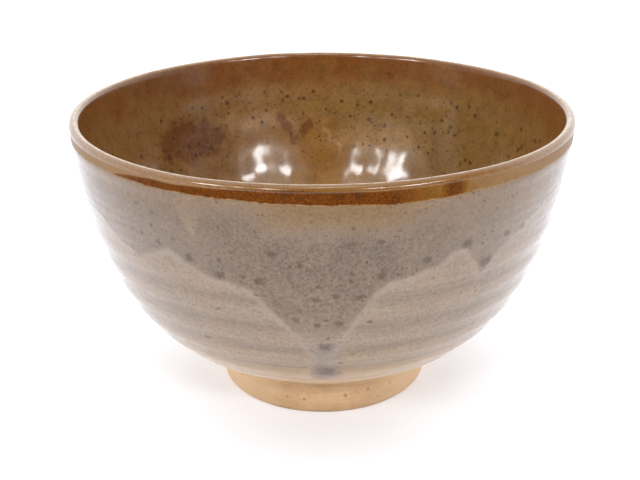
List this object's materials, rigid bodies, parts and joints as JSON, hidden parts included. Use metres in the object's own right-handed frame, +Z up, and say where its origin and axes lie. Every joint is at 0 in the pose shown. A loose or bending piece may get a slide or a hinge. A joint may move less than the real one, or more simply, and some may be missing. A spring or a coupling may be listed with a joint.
{
  "type": "matcha tea bowl",
  "caption": "Hand-thrown stoneware tea bowl on a turned foot ring, with a brown lining, an iron-brown rim band and a milky outer glaze under a speckled, tongued pour.",
  "frame": {"origin": "centre of the face that the foot rests on", "axes": "+Z up, along the bowl's axis, out of its mouth; -Y towards the side with the longest tongue of glaze"},
  "size_m": [0.12, 0.12, 0.0706],
  "materials": {
    "clay": "unglazed fired stoneware",
    "foot_clay": "bare fired stoneware, turned, fine pits",
    "lining_glaze": "glossy brown to olive glaze with dark iron specks",
    "iron_glaze": "glossy iron-brown to amber band",
    "milky_glaze": "glossy milky beige-grey glaze over throwing rings",
    "mauve_glaze": "glossy grey-mauve glaze with fine dark specks",
    "drop_glaze": "thick glossy dark grey glaze"
  },
  "bodies": {
    "root": {"clay_body": "clay", "foot_ring": "foot_clay", "inner_glaze": "lining_glaze", "rim_glaze": "iron_glaze", "outer_glaze": "milky_glaze", "poured_glaze": "mauve_glaze", "glaze_drop": "drop_glaze"}
  },
  "joints": []
}
